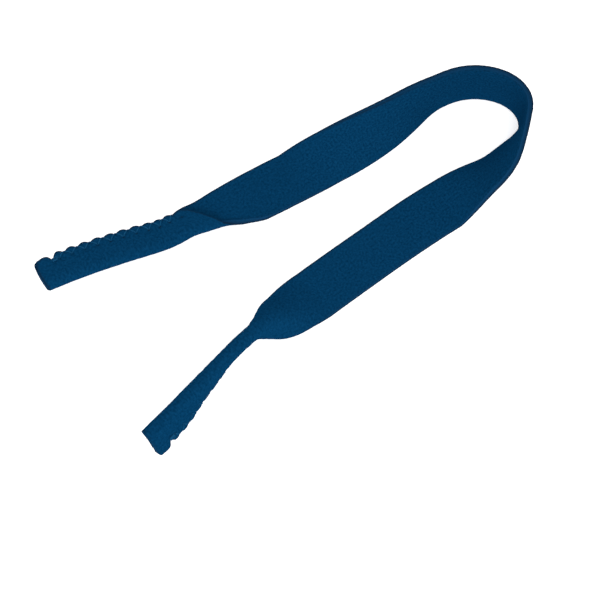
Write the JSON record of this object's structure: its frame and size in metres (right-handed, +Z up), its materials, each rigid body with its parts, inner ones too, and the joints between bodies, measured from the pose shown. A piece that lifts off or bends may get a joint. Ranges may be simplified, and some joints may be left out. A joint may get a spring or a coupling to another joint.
{
  "type": "eyeglass retainer strap",
  "caption": "Soft neoprene eyeglass retainer strap, lying in a U, with both ends folded and sewn into sleeves that grip the temple tips.",
  "frame": {"origin": "centre of the bounding box in plan, on the table the strap lies on", "axes": "+Z up from the table, +X towards the bend at the back of the head, +Y towards the left arm of the U"},
  "size_m": [0.1816, 0.1464, 0.0203],
  "materials": {
    "jersey": "petrol blue weft-knit nylon jersey, matt with a faint sheen",
    "foam": "petrol blue closed-cell neoprene foam, matt, seen only at the cut edges",
    "thread": "two-ply polyester sewing thread, a shade lighter than the jersey"
  },
  "bodies": {
    "back_band": {"back_band_back_jersey": "jersey", "back_band_foam_core": "foam", "back_band_face_jersey": "jersey"},
    "left_arm": {"left_arm_back_jersey": "jersey", "left_arm_foam_core": "foam", "left_arm_face_jersey": "jersey"},
    "left_neck": {"left_neck_back_jersey": "jersey", "left_neck_foam_core": "foam", "left_neck_face_jersey": "jersey"},
    "left_sleeve": {"left_sleeve_back_jersey": "jersey", "left_sleeve_foam_core": "foam", "left_sleeve_face_jersey": "jersey", "left_sleeve_needle_thread": "thread", "left_sleeve_bobbin_thread": "thread"},
    "right_arm": {"right_arm_back_jersey": "jersey", "right_arm_foam_core": "foam", "right_arm_face_jersey": "jersey"},
    "right_neck": {"right_neck_back_jersey": "jersey", "right_neck_foam_core": "foam", "right_neck_face_jersey": "jersey"},
    "right_sleeve": {"right_sleeve_back_jersey": "jersey", "right_sleeve_foam_core": "foam", "right_sleeve_face_jersey": "jersey", "right_sleeve_needle_thread": "thread", "right_sleeve_bobbin_thread": "thread"}
  },
  "joints": [
    {"name": "left_arm_spread", "type": "hinge", "parent": "back_band", "child": "left_arm", "pos_m": [0.06027, 0.06909, 0.01017], "axis": [0, 0, -1], "range_deg": [-4, 60]},
    {"name": "right_arm_spread", "type": "hinge", "parent": "back_band", "child": "right_arm", "pos_m": [0.0885, 0.057, 0.01017], "axis": [0, 0, 1], "range_deg": [-4, 60]},
    {"name": "left_neck_bend", "type": "hinge", "parent": "left_arm", "child": "left_neck", "pos_m": [-0.01775, 0.02423, 0.0012], "axis": [-0.5582, 0.8297, 0], "range_deg": [-60, 60]},
    {"name": "right_neck_bend", "type": "hinge", "parent": "right_arm", "child": "right_neck", "pos_m": [0.00708, -0.01368, 0.0012], "axis": [-0.6212, 0.7836, 0], "range_deg": [-60, 60]},
    {"name": "left_sleeve_twist", "type": "hinge", "parent": "left_neck", "child": "left_sleeve", "pos_m": [-0.03344, 0.01748, 0.00345], "axis": [0.8077, 0.5616, -0.1796], "range_deg": [-90, 90]},
    {"name": "right_sleeve_twist", "type": "hinge", "parent": "right_neck", "child": "right_sleeve", "pos_m": [-0.00908, -0.0259, 0.00633], "axis": [-0.7259, -0.6656, 0.1734], "range_deg": [-90, 90]}
  ]
}
